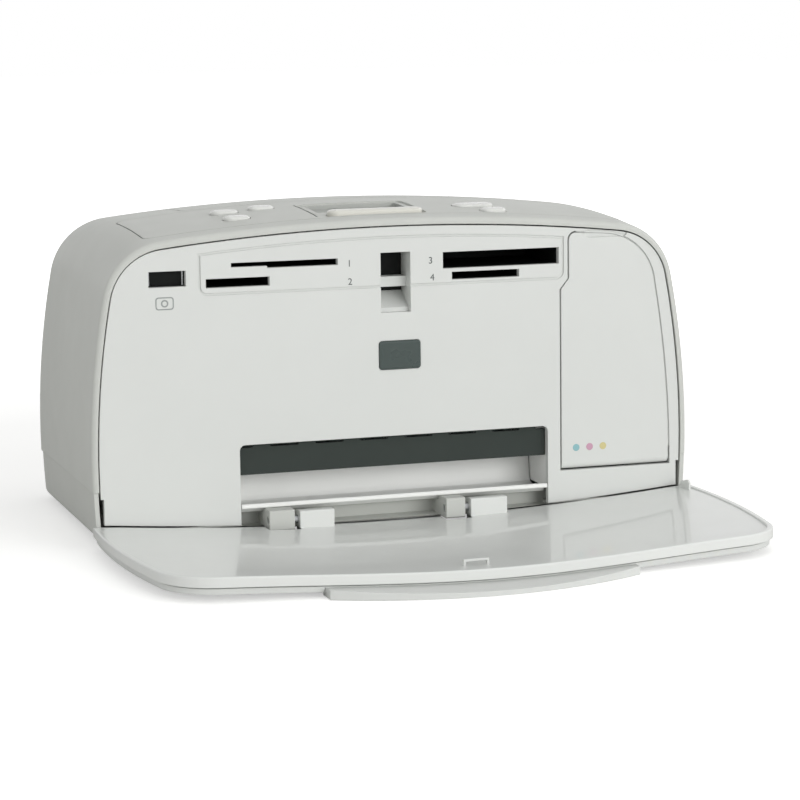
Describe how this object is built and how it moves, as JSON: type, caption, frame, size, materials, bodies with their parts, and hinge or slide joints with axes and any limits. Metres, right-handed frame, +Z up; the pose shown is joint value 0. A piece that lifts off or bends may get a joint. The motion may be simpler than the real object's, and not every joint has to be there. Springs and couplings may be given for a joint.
{
  "type": "compact_photo_printer",
  "caption": "Compact photo printer with card slots, arched casing, top control panel and a fold-down output tray",
  "frame": {"origin": "On the table, at the middle of the footprint that the printer has while its output tray is open", "axes": "X to the printer's right as seen from its front, Y to its back, Z up; the front with the tray faces -Y"},
  "size_m": [0.223, 0.2286, 0.1128],
  "materials": {
    "casing_plastic": "fine satin texture",
    "front_plastic": "smooth satin",
    "tray_plastic": "polished inside",
    "panel_plastic": "fine satin texture",
    "button_plastic": "gloss",
    "ivory_plastic": "gloss",
    "white_plastic": "smooth",
    "black_plastic": "fine texture",
    "dark_plastic": "fine texture",
    "badge_teal": "gloss, bare",
    "display_glass": "clear gloss over a dark display",
    "board_green": "solder mask",
    "steel": "bright",
    "zinc_steel": "zinc plated",
    "brass": "machined",
    "rubber": "matt",
    "gray_rubber": "matt",
    "acetal_white": "moulded",
    "encoder_film": "printed film"
  },
  "bodies": {
    "casing": {"bottom_tub": "casing_plastic", "top_casing": "casing_plastic", "front_fascia": "front_plastic", "exit_ramp": "white_plastic", "star_wheel_bridge": "dark_plastic", "control_panel": "panel_plastic", "display_window": "display_glass", "display_module": "dark_plastic", "button_board": "board_green", "badge_plate": "badge_teal", "usb_host_port": "steel", "card_sockets": "black_plastic", "main_board": "board_green", "usb_device_port": "steel", "power_inlet": "black_plastic", "rubber_feet": "rubber", "case_screws": "steel", "chassis": "zinc_steel", "carriage_rod": "steel", "carriage_belt": "rubber", "carriage_motor": "steel", "encoder_strip": "encoder_film", "service_station": "dark_plastic", "platen": "black_plastic", "feed_motor": "steel", "pinch_roller_holder": "black_plastic", "paper_chute": "dark_plastic"},
    "tray": {"output_tray": "tray_plastic", "tray_cover": "casing_plastic", "tray_hinge_pins": "steel"},
    "cartridge_door": {"cartridge_door": "front_plastic"},
    "input_flap": {"input_flap": "casing_plastic"},
    "width_guide": {"paper_width_guide": "white_plastic"},
    "pressure_plate": {"pressure_plate": "dark_plastic"},
    "rear_door": {"rear_door": "casing_plastic"},
    "carriage": {"carriage": "dark_plastic", "ink_cartridge": "black_plastic"},
    "cartridge_latch": {"cartridge_latch": "casing_plastic"},
    "motor_pulley": {"motor_pulley": "brass"},
    "idler_pulley": {"idler_pulley": "acetal_white"},
    "service_sled": {"service_sled": "black_plastic", "nozzle_cap": "rubber"},
    "feed_roller": {"feed_roller": "gray_rubber", "feed_gear": "acetal_white"},
    "motor_pinion": {"motor_pinion": "brass"},
    "idler_gear": {"idler_gear": "acetal_white"},
    "output_roller": {"output_roller": "steel", "output_tyres": "rubber", "output_gear": "acetal_white"},
    "pick_roller": {"pick_roller": "rubber", "pick_gear": "acetal_white"},
    "pinch_rollers": {"pinch_rollers": "acetal_white"},
    "star_wheels": {"star_wheels": "steel"},
    "menu_button": {"menu_button": "button_plastic"},
    "layout_button": {"layout_button": "button_plastic"},
    "save_button": {"save_button": "button_plastic"},
    "select_pad": {"select_pad": "ivory_plastic"},
    "print_button": {"print_button": "button_plastic"},
    "cancel_button": {"cancel_button": "button_plastic"}
  },
  "joints": [
    {"name": "tray_hinge", "type": "hinge", "parent": "casing", "child": "tray", "pos_m": [0, 0.00105, 0.006], "axis": [1, 0, 0], "range_deg": [-90, 0]},
    {"name": "cartridge_door_hinge", "type": "hinge", "parent": "casing", "child": "cartridge_door", "pos_m": [0.084, 0.00575, 0.0184], "axis": [1, 0, 0], "range_deg": [0, 85]},
    {"name": "input_flap_hinge", "type": "hinge", "parent": "casing", "child": "input_flap", "pos_m": [0, 0.11285, 0.0768], "axis": [-1, 0, 0], "range_deg": [0, 95]},
    {"name": "rear_door_hinge", "type": "hinge", "parent": "casing", "child": "rear_door", "pos_m": [0, 0.11265, 0.0277], "axis": [-1, 0, 0], "range_deg": [0, 80]},
    {"name": "width_guide_slide", "type": "slide", "parent": "casing", "child": "width_guide", "axis": [1, 0, 0], "range_m": [-0.012, 0]},
    {"name": "pressure_plate_hinge", "type": "hinge", "parent": "casing", "child": "pressure_plate", "pos_m": [0, 0.10485, 0.084], "axis": [1, 0, 0], "range_deg": [0, 5], "stiffness_Nm_per_rad": 0.02, "springref_deg": -11.46},
    {"name": "carriage_slide", "type": "slide", "parent": "casing", "child": "carriage", "axis": [1, 0, 0], "range_m": [-0.1485, 0]},
    {"name": "cartridge_latch_hinge", "type": "hinge", "parent": "carriage", "child": "cartridge_latch", "pos_m": [0.0835, 0.06055, 0.0734], "axis": [-1, 0, 0], "range_deg": [0, 45]},
    {"name": "motor_pulley_spin", "type": "hinge", "parent": "casing", "child": "motor_pulley", "pos_m": [-0.076, 0.08505, 0.064], "axis": [0, 1, 0], "range_deg": [0, 1710]},
    {"name": "idler_pulley_spin", "type": "hinge", "parent": "casing", "child": "idler_pulley", "pos_m": [0.0948, 0.08505, 0.064], "axis": [0, 1, 0], "range_deg": [0, 1710]},
    {"name": "service_sled_slide", "type": "slide", "parent": "casing", "child": "service_sled", "axis": [0, 0, 1], "range_m": [-0.004, 0]},
    {"name": "feed_roller_spin", "type": "hinge", "parent": "casing", "child": "feed_roller", "pos_m": [0, 0.06755, 0.0184], "axis": [1, 0, 0], "continuous": true},
    {"name": "motor_pinion_spin", "type": "hinge", "parent": "casing", "child": "motor_pinion", "pos_m": [-0.08, 0.08429, 0.01694], "axis": [1, 0, 0], "continuous": true},
    {"name": "idler_gear_spin", "type": "hinge", "parent": "casing", "child": "idler_gear", "pos_m": [-0.0895, 0.04674, 0.02418], "axis": [1, 0, 0], "continuous": true},
    {"name": "output_roller_spin", "type": "hinge", "parent": "casing", "child": "output_roller", "pos_m": [0, 0.02955, 0.0204], "axis": [1, 0, 0], "continuous": true},
    {"name": "pick_roller_spin", "type": "hinge", "parent": "casing", "child": "pick_roller", "pos_m": [0, 0.08055, 0.03565], "axis": [1, 0, 0], "continuous": true},
    {"name": "pinch_rollers_spin", "type": "hinge", "parent": "casing", "child": "pinch_rollers", "pos_m": [0, 0.06755, 0.0276], "axis": [1, 0, 0], "continuous": true},
    {"name": "star_wheels_spin", "type": "hinge", "parent": "casing", "child": "star_wheels", "pos_m": [0, 0.02955, 0.0276], "axis": [1, 0, 0], "continuous": true},
    {"name": "menu_button_press", "type": "slide", "parent": "casing", "child": "menu_button", "axis": [0, 0, 1], "range_m": [-0.0008, 0], "stiffness_N_per_m": 300, "springref_m": 0.0006},
    {"name": "layout_button_press", "type": "slide", "parent": "casing", "child": "layout_button", "axis": [0, 0, 1], "range_m": [-0.0008, 0], "stiffness_N_per_m": 300, "springref_m": 0.0006},
    {"name": "save_button_press", "type": "slide", "parent": "casing", "child": "save_button", "axis": [0, 0, 1], "range_m": [-0.0008, 0], "stiffness_N_per_m": 300, "springref_m": 0.0006},
    {"name": "select_pad_press", "type": "slide", "parent": "casing", "child": "select_pad", "axis": [0, 0, 1], "range_m": [-0.0008, 0], "stiffness_N_per_m": 300, "springref_m": 0.0006},
    {"name": "print_button_press", "type": "slide", "parent": "casing", "child": "print_button", "axis": [0, 0, 1], "range_m": [-0.0008, 0], "stiffness_N_per_m": 300, "springref_m": 0.0006},
    {"name": "cancel_button_press", "type": "slide", "parent": "casing", "child": "cancel_button", "axis": [0, 0, 1], "range_m": [-0.0008, 0], "stiffness_N_per_m": 300, "springref_m": 0.0006}
  ],
  "couplings": [
    {"joint": "motor_pulley_spin", "follows": "carriage_slide", "rad_per_m": -200},
    {"joint": "idler_pulley_spin", "follows": "carriage_slide", "rad_per_m": -200},
    {"joint": "motor_pinion_spin", "follows": "feed_roller_spin", "ratio": -2.5},
    {"joint": "idler_gear_spin", "follows": "feed_roller_spin", "ratio": -1.25},
    {"joint": "output_roller_spin", "follows": "feed_roller_spin", "ratio": 1.5},
    {"joint": "pick_roller_spin", "follows": "feed_roller_spin", "ratio": -1.25},
    {"joint": "pinch_rollers_spin", "follows": "feed_roller_spin", "ratio": -2},
    {"joint": "star_wheels_spin", "follows": "feed_roller_spin", "ratio": -2}
  ]
}
